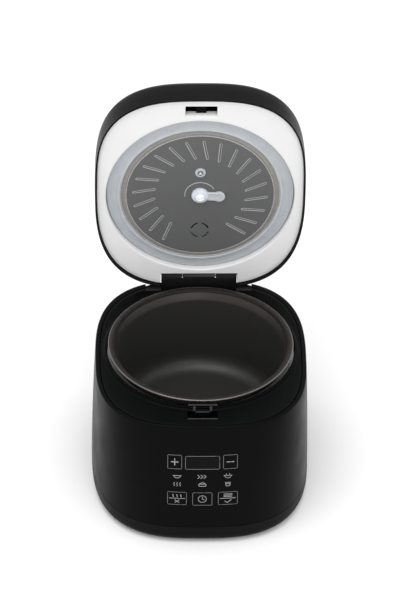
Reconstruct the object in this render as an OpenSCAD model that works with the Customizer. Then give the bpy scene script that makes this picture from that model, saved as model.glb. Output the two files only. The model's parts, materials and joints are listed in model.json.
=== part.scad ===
// Small rice cooker with a hinged lid, modelled standing open.
// Origin: on the pot's axis, in the plane of the table. -Y is the front, +Z is up. Millimetres.

/* [Body] */
// Half width of the body at its widest
belly_half_w = 117.5; // [112:0.5:122]
// How far the belly reaches in front of the pot's axis
belly_front = 147.5; // [144:0.5:150]
// How far the belly reaches behind the pot's axis
belly_back = 129; // [127:0.5:134]
// Height of the deck round the pot above the table
deck_z = 150; // [149:0.5:151]
// Half width of the body at the deck
deck_half_w = 114.5; // [113:0.5:116]
// How far the deck reaches in front of the pot's axis
deck_front = 134; // [133:0.5:136]
// How far the deck reaches behind the pot's axis
deck_back = 126.5; // [125.5:0.5:127]
// Height of the seam between the outer shell and the base cover
seam_z = 21.5; // [18:0.5:24]
// Wall thickness of the mouldings
wall = 2.4; // [2:0.1:3]

/* [Pot] */
// Outer radius of the pot's rim
rim_r = 100.75; // [100:0.25:101]
// Height of the pot's rim above the table
rim_z = 159.8; // [159:0.1:160]
// Inner radius of the pot below its shoulder
pot_r = 89.5; // [88:0.1:90]
// Inner radius of the pot's mouth above the shoulder
mouth_r = 94.3; // [92:0.1:94.5]
// Height of the outside of the pot's floor above the table
pot_floor_z = 58.5; // [57:0.5:60]

/* [Lid] */
// Height of the hinge axis above the table
hinge_z = 164; // [163.5:0.5:165]
// How far the hinge axis is behind the pot's axis
hinge_y = 117; // [116.5:0.5:118]
// Angle to which the lid opens
open_angle = 89; // [80:1:89]
// Height of the lid's lower edge above the table, closed
skirt_z = 150.3; // [150.2:0.1:151]
// Height of the liner's face above the table, closed
liner_z = 154.2; // [154:0.1:155]
// Height of the lid's top above the table, closed
lid_top_z = 195; // [194:0.5:198]
// Radius of the round recess in the liner
recess_r = 102.5; // [102.2:0.1:103]
// Height of the inner plate's face above the table, closed
plate_z = 156.5; // [156:0.1:157]
// Radius of the inner plate
plate_r = 87; // [85:0.5:88]
// Number of positions in the plate's ring of ribs
rib_places = 24; // [18:1:30]

/* [Controls] */
// Clearance round a key
key_gap = 0.3; // [0.2:0.05:0.5]
// Travel of a key
key_travel = 0.4; // [0.3:0.1:0.6]

/* [Hidden] */

$fn = 96;
steps = 72;
black = [0.045, 0.045, 0.048];
soft_black = [0.09, 0.09, 0.09];
white = [0.92, 0.92, 0.91];
grey = [0.45, 0.45, 0.44];
steel = [0.72, 0.73, 0.74];
silicone = [0.75, 0.76, 0.77];
board_green = [0.1, 0.35, 0.18];
copper = [0.75, 0.5, 0.3];

// Exponents of the rounded-square outline at the base and at the deck
base_n = 2.82;
deck_n = 2.93;
// Places along Y where the outline is widest, at the base and at the deck
base_wide_y = -5;
deck_wide_y = -15;
// How fast the wall draws in towards the deck
draft_power = 2.1;
base_round = 10;
base_floor_z = 1.2;
rim_round = 1.2;
deck_gap = 0.6;
deck_t = 3;
deck_side = 109.1;
deck_inner_front = 131.2;
deck_inner_back = 121.1;
opening_r = 101.6;
collar_r = 105;
collar_z = 153.4;
trough_r = 17.6;
trough_half_w = 58;
well_r = 93.5;
well_t = 1;
well_floor_z = 40;
well_hole_r = 56.5;
leg_x = 84;
leg_front_y = -98;
leg_back_y = 86;
leg_bottom_z = 24;
leg_r = 7;
base_screw_r = 1.6;
plinth_r = 64;
board_top_z = 23.6;
plate_t = 1;
recess_floor_z = 164.5;
recess_edge = 1.5;
floor_t = 2;
liner_t = 2.2;
liner_inset = 2.1;
lid_wall = 1.7;
gasket_z = 160.3;
rim_of_plate_z = 159.6;
sensor_y = -30.6;
steam_y = 49;
slot_half_w = 17.35;
slot_front_y = -123;
slot_back_y = -107;
barrel_r = 7.6;
hinge_pin_r = 2.5;
hood_r = 9;
arm_half_w = 17.5;
arm_z0 = 167.2;
arm_z1 = 171.8;
hinge_plate_y = 108;
notch_half_w = 42;
notch_y = 107.6;
notch_top_z = 173.5;
post_r = 3.2;
post_tip_z = 153.2;
sensor_r = 2.3;
sensor_tip_z = 154;
hook_pin_r = 1.5;
screw_r = 1.3;
hook_y = -124;
hook_z = 180;
button_y = -114;
button_w = 30;
button_d = 12;
lid_screw_places = [[-98, -60], [98, -60], [-88, 84], [88, 84], [-70, -106], [70, -106]];

// ---- Outlines and lofts ----

// Rounded-square outline from y_front to y_back: half width a at y_wide, exponent n
function squircle(a, y_front, y_back, y_wide, n) = [for (i = [0:steps - 1])
    let (t = 360 * i / steps, c = cos(t), s = sin(t), b = s < 0 ? y_wide - y_front : y_back - y_wide)
    [a * sign(c) * pow(abs(c), 2 / n), y_wide + b * sign(s) * pow(abs(s), 2 / n)]];

// How far the wall has drawn in at height z, from 0 at the belly to 1 at the deck
function draft(z) = pow(z / deck_z, draft_power);
function half_w(z) = belly_half_w + (deck_half_w - belly_half_w) * draft(z);
function front(z) = belly_front + (deck_front - belly_front) * draft(z);
function back(z) = belly_back + (deck_back - belly_back) * draft(z);
function expo(z) = base_n + (deck_n - base_n) * draft(z);
function wide_y(z) = base_wide_y + (deck_wide_y - base_wide_y) * draft(z);

// Ring of points at height z, moved in by inset
function at_height(outline, z) = [for (p = outline) [p[0], p[1], z]];
function body_ring(z, inset) = at_height(
    squircle(half_w(z) - inset, inset - front(z), back(z) - inset, wide_y(z), expo(z)), z);

// Outlines of the deck inside its groove and of the lid, moved in by inset
function deck_outline(inset) = squircle(deck_side - inset, inset - deck_inner_front, deck_inner_back - inset,
    deck_wide_y, deck_n);
function lid_outline(inset) = squircle(deck_half_w - inset, inset - deck_front, deck_back - inset,
    deck_wide_y, deck_n);

// The body's front surface at x and z
function front_y(x, z) = wide_y(z)
    - (front(z) + wide_y(z)) * pow(1 - pow(abs(x) / half_w(z), expo(z)), 1 / expo(z));

function side_faces(count, j0, j1) = [for (i = [0:count - 1]) each
    [[j0 * count + i, j1 * count + i, j1 * count + (i + 1) % count],
     [j0 * count + i, j1 * count + (i + 1) % count, j0 * count + (i + 1) % count]]];

// Closed solid through a list of rings from the bottom up, or out and over and back in
module loft(rings) {
    count = len(rings[0]);
    last = len(rings) - 1;
    polyhedron(
        points = [for (r = rings) each r],
        faces = concat(
            [[for (i = [0:count - 1]) i]],
            [for (j = [0:last - 1]) each side_faces(count, j, j + 1)],
            [[for (i = [count - 1:-1:0]) last * count + i]]));
}

// Ring-shaped solid: the last ring joins the first
module loop_loft(rings) {
    count = len(rings[0]);
    total = len(rings);
    polyhedron(
        points = [for (r = rings) each r],
        faces = [for (j = [0:total - 1]) each side_faces(count, j, (j + 1) % total)]);
}

// Piece of the body's front wall from x0 to x1 and z0 to z1, between two depths behind the surface
module front_patch(x0, x1, z0, z1, depth0, depth1) {
    nx = 6;
    nz = 3;
    xs = [for (i = [0:nx]) x0 + (x1 - x0) * i / nx];
    zs = [for (j = [0:nz]) z0 + (z1 - z0) * j / nz];
    row = nx + 1;
    sheet = row * (nz + 1);
    outer = [for (z = zs) each [for (x = xs) [x, front_y(x, z) + depth0, z]]];
    inner = [for (z = zs) each [for (x = xs) [x, front_y(x, z) + depth1, z]]];
    skin = [for (j = [0:nz - 1]) each [for (i = [0:nx - 1]) let (k = j * row + i) each [
        [k, k + row, k + row + 1], [k, k + row + 1, k + 1],
        [sheet + k, sheet + k + 1, sheet + k + row + 1], [sheet + k, sheet + k + row + 1, sheet + k + row]]]];
    top = nz * row;
    edge = concat(
        [for (i = [0:nx - 1]) each [
            [i, i + 1, sheet + i + 1], [i, sheet + i + 1, sheet + i],
            [top + i, sheet + top + i + 1, top + i + 1], [top + i, sheet + top + i, sheet + top + i + 1]]],
        [for (j = [0:nz - 1]) let (k = j * row, e = j * row + nx) each [
            [k, sheet + k, sheet + k + row], [k, sheet + k + row, k + row],
            [e, e + row, sheet + e + row], [e, sheet + e + row, sheet + e]]]);
    polyhedron(points = concat(outer, inner), faces = concat(skin, edge));
}

module tube(r_in, r_out, z0, z1) {
    translate([0, 0, z0]) difference() {
        cylinder(r = r_out, h = z1 - z0);
        translate([0, 0, -1]) cylinder(r = r_in, h = z1 - z0 + 2);
    }
}

module disc(r, z0, z1) {
    translate([0, 0, z0]) cylinder(r = r, h = z1 - z0);
}

// Box between two corners
module block(x0, x1, y0, y1, z0, z1) {
    translate([x0, y0, z0]) cube([x1 - x0, y1 - y0, z1 - z0]);
}

// Cylinder along X between x0 and x1
module rod_x(r, x0, x1, y, z) {
    translate([x0, y, z]) rotate([0, 90, 0]) cylinder(r = r, h = x1 - x0);
}

// Close-wound coil drawn as rings that touch, along Z
module coil(r, wire, turns, z0) {
    for (k = [0:turns - 1]) translate([0, 0, z0 + wire * (0.5 + 0.96 * k)])
        rotate_extrude($fn = 32) translate([r, 0]) circle(d = wire, $fn = 16);
}

// Turns the closed lid about its hinge to the open rest position
module lid_open() {
    translate([0, hinge_y, hinge_z]) rotate([-open_angle, 0, 0])
        translate([0, -hinge_y, -hinge_z]) children();
}

// ---- Body casings ----

// Keys and window as [left, right, bottom, top]
key_boxes = [
    [-38.1, -22.1, 97.6, 115.6],
    [22.1, 38.1, 97.6, 115.6],
    [-38, -16.6, 51.5, 68.7],
    [-10.8, 11, 51, 68.2],
    [17, 38.6, 51.5, 68.7]];
window_box = [-19, 19, 97.3, 114.5];
key_t = 2.2;
board_front_y = -126.6;
switch_tip_y = -131.7;
inlet_z = 42;
inlet_half_w = 13.5;
inlet_half_h = 9.5;
inlet_screw_x = 16.8;

module front_hole(b, gap) {
    block(b[0] - gap, b[1] + gap, -belly_front - 5, -belly_front + 15, b[2] - gap, b[3] + gap);
}

module hinge_trough() {
    rod_x(trough_r, -trough_half_w, trough_half_w, hinge_y, hinge_z);
}

module outer_shell() {
    inner_top_z = deck_z - 5;
    outside = [for (z = [seam_z, 50, 80, 110, 130, deck_z - rim_round]) body_ring(z, 0)];
    inside = [for (z = [inner_top_z, 130, 110, 80, 50, seam_z]) body_ring(z, wall)];
    rim = [
        body_ring(deck_z - 0.35 * rim_round, 0.35 * rim_round),
        body_ring(deck_z, rim_round),
        at_height(deck_outline(-deck_gap), deck_z),
        at_height(deck_outline(-deck_gap), inner_top_z)];
    color(black) difference() {
        loop_loft(concat(outside, rim, inside));
        for (b = key_boxes) front_hole(b, key_gap);
        front_hole(window_box, 0.1);
        hinge_trough();
        block(-inlet_half_w, inlet_half_w, 110, 140, inlet_z - inlet_half_h, inlet_z + inlet_half_h);
    }
}

module base_cover() {
    round_steps = [0, 30, 60, 90];
    outside = [for (t = round_steps)
        body_ring(base_floor_z + base_round * (1 - cos(t)), base_round * (1 - sin(t)))];
    inside = [body_ring(seam_z, wall), body_ring(base_floor_z + base_round, wall),
        body_ring(base_floor_z + wall, base_round)];
    color(black) difference() {
        union() {
            loft(concat(outside, [body_ring(seam_z, 0)], inside));
            tube(plinth_r - 6, plinth_r, 0, base_floor_z + 0.5);
            for (x = [-leg_x, leg_x], y = [leg_front_y, leg_back_y])
                translate([x, y, 0]) disc(leg_r, base_floor_z + 0.5, leg_bottom_z);
        }
        for (x = [-leg_x, leg_x], y = [leg_front_y, leg_back_y]) translate([x, y, 0]) {
            disc(4.3, 0, 16);
            disc(2.2, 10, 30);
        }
        for (x = [-40:10:40]) block(x - 2, x + 2, -35, 35, -1, 6);
    }
}

module rubber_feet() {
    color(soft_black) for (x = [-80, 80], y = [-80, 66]) translate([x, y, 0]) disc(8, 0, base_floor_z);
}

module base_screws() {
    color(steel) for (x = [-leg_x, leg_x], y = [leg_front_y, leg_back_y]) translate([x, y, 0]) difference() {
        union() {
            disc(3.8, 13.2, 16);
            disc(base_screw_r, 15, 35);
        }
        block(-3, 3, -0.5, 0.5, 12, 14.2);
    }
}

module deck_frame() {
    under = deck_z - deck_t;
    strip_drop = 3.5;
    color(black) difference() {
        union() {
            translate([0, 0, under]) linear_extrude(deck_t) polygon(deck_outline(0));
            intersection() {
                translate([0, 0, under - strip_drop]) linear_extrude(strip_drop + 0.6)
                    polygon(deck_outline(3));
                block(-trough_half_w - 4, trough_half_w + 4, 104, 130, 100, 160);
            }
            disc(collar_r, under, collar_z);
            for (x = [-leg_x, leg_x], y = [leg_front_y, leg_back_y])
                translate([x, y, 0]) disc(leg_r - 2, leg_bottom_z, under + 1);
            block(-20, 20, -121, -109, under - 4, under);
        }
        disc(opening_r, under - 20, collar_z + 1);
        hinge_trough();
        block(-16.2, 16.2, -120, -106.5, under - 2, collar_z + 1);
        for (x = [-leg_x, leg_x], y = [leg_front_y, leg_back_y])
            translate([x, y, 0]) disc(base_screw_r, leg_bottom_z - 1, 36);
    }
}

module latch_cover() {
    color(soft_black) {
        block(-13.5, 13.5, -130, -120.6, deck_z, deck_z + 0.3);
        block(-16, 16, -121.2, -120.2, deck_z, deck_z + 0.8);
    }
}

module striker() {
    foot_z = deck_z - deck_t - 2;
    color(soft_black) difference() {
        union() {
            block(-10.3, 10.3, -114, -112, foot_z, 163);
            block(-15.7, 15.7, -114, -112, 162.5, 165);
            block(-15.7, 15.7, -119.5, -110, foot_z, foot_z + 1.5);
        }
        block(-6.8, 6.8, -115, -111, 157.4, 162.2);
    }
}

// ---- Pot, well and heating ----

module pot_well() {
    color(steel) difference() {
        union() {
            tube(well_r, well_r + well_t, well_floor_z, deck_z - deck_t - 1);
            tube(well_r, opening_r - 0.4, deck_z - deck_t - 1.6, deck_z - deck_t - 0.4);
            disc(well_r + well_t, well_floor_z, well_floor_z + well_t);
        }
        disc(well_hole_r, well_floor_z - 1, well_floor_z + 3);
    }
}

module heater_plate() {
    top = pot_floor_z - 0.2;
    color(steel) difference() {
        union() {
            disc(68, top - 7, top);
            disc(72, top - 7, top - 3);
        }
        disc(17, 30, top + 1);
    }
}

module heater_element() {
    z = pot_floor_z - 0.2 - 7 - 4.1;
    color(steel) {
        translate([0, 0, z]) rotate_extrude() translate([48, 0]) circle(r = 3.8, $fn = 32);
        for (x = [43, 53]) block(x - 1, x + 1, -1.5, 1.5, z - 15, z - 1);
    }
}

module heater_spacers() {
    color(steel) for (t = [30, 150, 270]) rotate([0, 0, t]) translate([62, 0, 0])
        disc(4, well_floor_z + well_t, pot_floor_z - 7.2);
}

module band_heater() {
    color(copper) difference() {
        tube(well_r + well_t + 0.2, well_r + well_t + 1.2, 72, 108);
        block(-14, 14, 80, 110, 60, 120);
    }
}

module thermal_fuse() {
    color(white) {
        rod_x(2.4, -66, -48, -20, well_floor_z - 3);
        block(-60, -54, -24, -16, well_floor_z - 1, well_floor_z);
    }
}

module sensor_bracket() {
    color(steel) difference() {
        union() {
            block(-10, 10, -64, 64, well_floor_z - 1.5, well_floor_z);
            disc(10, well_floor_z - 9, well_floor_z);
        }
        disc(6.05, 20, 60);
    }
}

module sensor_spring() {
    color(steel) coil(8.4, 1.5, 9, well_floor_z + 0.1);
}

module centre_sensor() {
    top = pot_floor_z - 0.1;
    color(steel) {
        disc(13.5, top - 3, top);
        disc(6, well_floor_z - 6, top - 2);
    }
}

module inner_pot() {
    t = 1.5;
    floor_in = pot_floor_z + t;
    bend = 20;
    shoulder_z = rim_z - 10;
    flange_t = 2;
    color(grey) rotate_extrude() difference() {
        union() {
            translate([0, pot_floor_z]) square([pot_r + t - bend, 30]);
            translate([0, pot_floor_z + bend]) square([pot_r + t, shoulder_z - pot_floor_z - bend]);
            translate([pot_r + t - bend, pot_floor_z + bend]) circle(r = bend);
            polygon([[pot_r, shoulder_z - 1], [pot_r + t, shoulder_z - 1], [mouth_r + t, rim_z - flange_t],
                [rim_r - 1, rim_z - flange_t], [rim_r - 1, rim_z], [mouth_r, rim_z], [mouth_r, rim_z - 2.4],
                [pot_r, shoulder_z]]);
            translate([rim_r - 1, rim_z - 1]) circle(r = 1, $fn = 32);
        }
        translate([0, floor_in]) square([pot_r - bend + t, 120]);
        translate([0, floor_in + bend - t]) square([pot_r, 120]);
        translate([pot_r + t - bend, floor_in + bend - t]) circle(r = bend - t);
    }
}

// ---- Electronics and inlet ----

module power_board() {
    color(board_green) block(-70, 70, -52, 60, board_top_z - 1.6, board_top_z);
}

module power_components() {
    color(soft_black) {
        block(-62, -34, 30, 50, board_top_z, 34);
        block(-26, -8, 34, 50, board_top_z, 36);
        block(8, 36, 28, 52, board_top_z, 34);
        for (x = [-60, -44, -28]) translate([x, -40, 0]) disc(5, board_top_z, 34);
        block(20, 44, -46, -36, board_top_z, 32);
    }
}

module control_board() {
    color(board_green) difference() {
        block(-48, 48, board_front_y, board_front_y + 1.6, 38, 122);
        for (x = [-44, 44], z = [42, 118])
            translate([x, -120, z]) rotate([90, 0, 0]) cylinder(r = 1.6, h = 10);
    }
}

mouth_y = back(inlet_z) - 0.6;
key_centres = [for (b = key_boxes) [(b[0] + b[1]) / 2, (b[2] + b[3]) / 2]];

module key_switches() {
    color(steel) for (c = key_centres) {
        block(c[0] - 3, c[0] + 3, switch_tip_y + 1.6, board_front_y, c[1] - 3, c[1] + 3);
        translate([c[0], switch_tip_y + 1.6, c[1]]) rotate([90, 0, 0]) cylinder(r = 1.7, h = 1.6, $fn = 24);
    }
}

module display_module() {
    color(soft_black) block(-17, 17, -137, board_front_y, 99, 113);
}

module display_window() {
    b = window_box;
    color(black) front_patch(b[0], b[1], b[2], b[3], 0.15, key_t);
}

module key(index) {
    b = key_boxes[index];
    c = key_centres[index];
    color(black) {
        front_patch(b[0], b[1], b[2], b[3], 0, key_t);
        stem_y = front_y(c[0], c[1]) + key_t - 0.1;
        tip_y = switch_tip_y - key_travel;
        translate([c[0], tip_y, c[1]]) rotate([90, 0, 0]) cylinder(r = 2.2, h = tip_y - stem_y, $fn = 24);
    }
}

module key_plus() { key(0); }
module key_minus() { key(1); }
module key_keep_warm() { key(2); }
module key_timer() { key(3); }
module key_menu() { key(4); }

module inlet_housing() {
    color(soft_black) difference() {
        union() {
            block(-inlet_half_w + 0.2, inlet_half_w - 0.2, mouth_y - 22, mouth_y,
                inlet_z - inlet_half_h + 0.2, inlet_z + inlet_half_h - 0.2);
            block(-20, 20, mouth_y - 6.5, mouth_y - 4, inlet_z - 12, inlet_z + 12);
        }
        block(-11.8, 11.8, mouth_y - 16, mouth_y + 1, inlet_z - 8, inlet_z + 8);
        for (x = [-inlet_screw_x, inlet_screw_x]) translate([x, mouth_y, inlet_z])
            rotate([90, 0, 0]) cylinder(r = 1.5, h = 10);
    }
}

module inlet_pins() {
    color(steel) for (p = [[-6, -1.5], [6, -1.5], [0, 2.5]])
        block(p[0] - 1, p[0] + 1, mouth_y - 22.5, mouth_y - 3, inlet_z + p[1] - 2, inlet_z + p[1] + 2);
}

module inlet_screws() {
    color(steel) for (x = [-inlet_screw_x, inlet_screw_x])
        translate([x, mouth_y - 9, inlet_z]) rotate([-90, 0, 0]) {
            cylinder(r = 1.5, h = 5);
            translate([0, 0, 0.5]) cylinder(r = 2.8, h = 2, $fn = 24);
        }
}

// ---- Hinge ----

module hinge_bracket() {
    lug_w = 11;
    color(black) difference() {
        for (x = [-41, 30]) {
            rod_x(barrel_r, x, x + lug_w, hinge_y, hinge_z);
            intersection() {
                block(x, x + lug_w, hinge_y - 7, hinge_y + 3.4, 140, hinge_z);
                rod_x(trough_r - 0.03, x, x + lug_w, hinge_y, hinge_z);
            }
        }
        rod_x(hinge_pin_r, -45, 45, hinge_y, hinge_z);
    }
}

module hinge_pin() {
    color(steel) rod_x(hinge_pin_r, -40.4, 40.4, hinge_y, hinge_z);
}

// Plate in front of the barrels, standing in the trough, with a hood over each spring and lug
module hinge_cover() {
    hood_x0 = arm_half_w + 1;
    hood_x1 = 41.2;
    hood_t = 0.9;
    color(black) {
        intersection() {
            block(-hood_x1, hood_x1, hinge_plate_y, hinge_plate_y + 1.3, 140, hinge_z + 1.8);
            rod_x(trough_r - 0.03, -hood_x1, hood_x1, hinge_y, hinge_z);
        }
        for (side = [0, 1]) mirror([side, 0, 0]) difference() {
            rod_x(hood_r, hood_x0, hood_x1, hinge_y, hinge_z);
            rod_x(hood_r - hood_t, hood_x0 - 1, hood_x1 + 1, hinge_y, hinge_z);
            block(hood_x0 - 1, hood_x1 + 1, hinge_y - 20, hinge_y + 20, hinge_z - 20, hinge_z - 2);
        }
    }
}

module hinge_springs() {
    color(steel) for (x = [19, 24.6]) for (side = [0, 1])
        mirror([side, 0, 0]) translate([x, hinge_y, hinge_z]) rotate([0, 90, 0]) coil(4.2, 1.4, 3, 0);
}

module hinge_arm() {
    color(soft_black) lid_open() difference() {
        union() {
            rod_x(barrel_r, -arm_half_w, arm_half_w, hinge_y, hinge_z);
            block(-arm_half_w, arm_half_w, 92, hinge_y, arm_z0, arm_z1);
            block(-34, 34, 84, 103, arm_z0, arm_z1);
        }
        rod_x(hinge_pin_r + 0.06, -45, 45, hinge_y, hinge_z);
    }
}

// ---- Lid ----

module lid_shell() {
    // Height below the top and distance in from the side for each ring over the shoulder
    shoulder = [[27, 0], [14, 1.2], [8.5, 4], [5.5, 8], [3.4, 15], [1.8, 28], [0.7, 48], [0, 84]];
    inside = [for (k = [len(shoulder) - 1:-1:0]) let (s = shoulder[k])
        at_height(lid_outline(s[1] + lid_wall), lid_top_z - s[0] - wall)];
    outside = [for (s = shoulder) at_height(lid_outline(s[1]), lid_top_z - s[0])];
    color(black) lid_open() difference() {
        skirt = [for (inset = [lid_wall, 0]) at_height(lid_outline(inset), skirt_z)];
        loft(concat(inside, skirt, outside));
        block(-notch_half_w, notch_half_w, notch_y, 140, skirt_z - 1, notch_top_z);
        translate([0, steam_y, 0]) disc(24.2, 170, 210);
        block(-button_w / 2 - 0.4, button_w / 2 + 0.4, button_y - button_d / 2 - 0.4,
            button_y + button_d / 2 + 0.4, 175, 210);
    }
}

module lid_liner() {
    color(white) lid_open() difference() {
        union() {
            translate([0, 0, liner_z]) linear_extrude(liner_t) polygon(lid_outline(liner_inset));
            disc(recess_r + liner_t, liner_z, recess_floor_z + floor_t);
            for (x = [-11, 8.5]) block(x, x + 2.5, -127.4, -121, liner_z + 1, hook_z + 3);
            for (p = lid_screw_places) translate([p[0], p[1], 0]) disc(3.5, liner_z + 1, 176);
        }
        disc(recess_r, liner_z - 1, recess_floor_z);
        translate([0, 0, liner_z]) cylinder(r1 = recess_r + recess_edge, r2 = recess_r, h = recess_edge);
        block(-notch_half_w, notch_half_w, notch_y, 140, liner_z - 1, recess_floor_z + 5);
        block(-slot_half_w, slot_half_w, slot_front_y, slot_back_y, liner_z - 1, liner_z + 5);
        rod_x(hook_pin_r, -20, 20, hook_y, hook_z);
        disc(post_r, 150, 180);
        translate([0, sensor_y, 0]) disc(4, 150, 180);
        translate([0, steam_y, 0]) disc(11, 150, 180);
        for (p = lid_screw_places) translate([p[0], p[1], 0]) disc(screw_r, liner_z + 3, 180);
    }
}

module lid_screws() {
    color(steel) lid_open() for (p = lid_screw_places) translate([p[0], p[1], 0]) {
        disc(3.2, 176, 177.8);
        disc(screw_r, 164, 177);
    }
}

module centre_post() {
    color(steel) lid_open() {
        disc(post_r, post_tip_z, 169);
        translate([0, 0, post_tip_z]) sphere(r = post_r, $fn = 48);
        disc(9, recess_floor_z + floor_t, 169);
    }
}

module lid_sensor() {
    color(steel) lid_open() translate([0, sensor_y, 0]) {
        disc(sensor_r, sensor_tip_z, 172);
        disc(6, recess_floor_z + floor_t, 170);
        translate([0, 0, sensor_tip_z]) sphere(r = sensor_r, $fn = 32);
    }
}

module steam_seat() {
    color(soft_black) lid_open() translate([0, steam_y, 0]) difference() {
        union() {
            disc(10.9, recess_floor_z - 2, 175);
            disc(25.6, 173, 176);
            tube(23.9, 25.6, 175, 189);
        }
        disc(9, 150, 200);
    }
}

module hook_pin() {
    color(steel) lid_open() rod_x(hook_pin_r, -12.2, 12.2, hook_y, hook_z);
}

module hook_spring() {
    color(steel) lid_open() translate([5.4, hook_y, hook_z]) rotate([0, 90, 0]) coil(2.6, 0.8, 3, 0.2);
}

module latch_hook() {
    color(soft_black) lid_open() difference() {
        union() {
            rod_x(3.5, -5, 5, hook_y, hook_z);
            block(-5, 5, -126, -122.5, 158.4, hook_z);
            block(-5.5, 5.5, -126, -111, 158.4, 161.2);
            block(-4, 4, hook_y, -111, hook_z - 1.3, hook_z + 1.2);
        }
        rod_x(hook_pin_r + 0.06, -20, 20, hook_y, hook_z);
    }
}

module release_button() {
    color(soft_black) lid_open() {
        block(-button_w / 2, button_w / 2, button_y - button_d / 2, button_y + button_d / 2, 185.2, 190.2);
        translate([0, button_y, 0]) disc(2.5, hook_z + 2.1, 186);
    }
}

// ---- Inner plate, gasket and steam cap ----

// The ring of swirled ribs leaves out the places round the steam port
tab_x = 20.5;
rib_inner_r = 49.3;
rib_outer_r = 73.5;
rib_tangent_r = 16.3;
rib_w = 1.8;
rib_first = 6;
function rib_kept(k) = abs((k * 360 / rib_places + rib_first) % 360 - 270) > 30;

module rib() {
    inner = asin(rib_tangent_r / rib_inner_r);
    reach_in = rib_inner_r * cos(inner);
    reach_out = rib_outer_r * cos(asin(rib_tangent_r / rib_outer_r));
    rotate([0, 0, inner]) translate([0, -rib_tangent_r, plate_z - 0.7])
        translate([reach_in, -rib_w / 2, 0]) cube([reach_out - reach_in, rib_w, 1]);
}

module inner_plate() {
    color(grey) lid_open() difference() {
        union() {
            disc(plate_r - 6.5, plate_z, plate_z + plate_t);
            rotate_extrude() polygon([[plate_r - 7.5, plate_z], [plate_r, rim_of_plate_z],
                [plate_r, rim_of_plate_z + 1.2], [plate_r - 7.5, plate_z + plate_t]]);
            for (k = [0:rib_places - 1]) if (rib_kept(k))
                mirror([0, 1, 0]) rotate([0, 0, k * 360 / rib_places + rib_first]) rib();
        }
        disc(6, 140, 170);
        translate([0, sensor_y, 0]) disc(4.2, 140, 170);
        translate([0, steam_y, 0]) difference() {
            tube(8.6, 10.2, 150, 170);
            block(-20, 20, -1.4, 1.4, 140, 180);
            block(-1.4, 1.4, -20, 20, 140, 180);
        }
    }
}

module plate_grommet() {
    color(silicone) lid_open() difference() {
        union() {
            disc(9.4, 150.8, plate_z);
            disc(6, 150.8, plate_z + plate_t + 1);
            disc(8.4, plate_z + plate_t, plate_z + plate_t + 1.6);
            block(6, tab_x, -4.6, 4.6, 154.2, plate_z);
            translate([tab_x, 0, 0]) disc(6.7, 153.6, plate_z);
        }
        disc(post_r + 0.05, 140, 170);
        translate([tab_x, 0, 0]) disc(3, 140, 155);
    }
}

module sensor_grommet() {
    color(silicone) lid_open() translate([0, sensor_y, 0]) difference() {
        union() {
            disc(5.9, plate_z - 1.6, plate_z);
            disc(4.2, plate_z - 1.6, plate_z + plate_t + 0.5);
            disc(5.4, plate_z + plate_t, plate_z + plate_t + 1.2);
        }
        disc(sensor_r + 0.1, 140, 170);
    }
}

module lid_gasket() {
    color(silicone) lid_open() difference() {
        rotate_extrude() polygon([[plate_r - 1.5, gasket_z + 0.6], [plate_r + 0.05, gasket_z - 0.6],
            [plate_r + 0.05, gasket_z - 3.2], [plate_r + 1.4, gasket_z - 3.8], [plate_r + 3, gasket_z - 3.2],
            [plate_r + 5.6, gasket_z], [101.6, gasket_z], [102, gasket_z + 1.4],
            [100, gasket_z + 3], [plate_r - 1.5, gasket_z + 3]]);
        rotate_extrude() polygon([[plate_r - 8, plate_z - 1], [plate_r + 0.05, rim_of_plate_z - 0.02],
            [plate_r + 0.05, rim_of_plate_z + 1.25], [plate_r - 8, plate_z + 1.4]]);
    }
}

module steam_cap() {
    color(black) lid_open() translate([0, steam_y, 0]) difference() {
        disc(23.5, 176.2, 195);
        disc(21.5, 175, 192.5);
        for (x = [-9, -3, 3, 9]) block(x - 1.1, x + 1.1, -9, 9, 190, 200);
    }
}

module steam_cap_seal() {
    color(silicone) lid_open() translate([0, steam_y, 0]) tube(10, 13, 176.1, 178.1);
}

outer_shell();
base_cover();
rubber_feet();
base_screws();
deck_frame();
latch_cover();
striker();
pot_well();
heater_plate();
heater_element();
heater_spacers();
band_heater();
thermal_fuse();
sensor_bracket();
sensor_spring();
centre_sensor();
power_board();
power_components();
control_board();
key_switches();
display_module();
display_window();
inlet_housing();
inlet_pins();
inlet_screws();
hinge_bracket();
hinge_pin();
hinge_cover();
hinge_springs();
inner_pot();
key_plus();
key_minus();
key_keep_warm();
key_timer();
key_menu();
lid_shell();
lid_liner();
lid_screws();
hinge_arm();
centre_post();
lid_sensor();
steam_seat();
hook_pin();
hook_spring();
inner_plate();
plate_grommet();
sensor_grommet();
lid_gasket();
steam_cap();
steam_cap_seal();
latch_hook();
release_button();
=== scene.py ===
"""Looks of a small rice cooker with its lid standing open.

Lengths inside the modelling functions are millimetres; mesh() turns them into metres. Lid pieces are
modelled closed and turned to the open rest position by the hinge that the frame gives.
"""
import bisect
import json
import math

import bmesh
import bpy
from mathutils import Matrix, Vector


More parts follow.
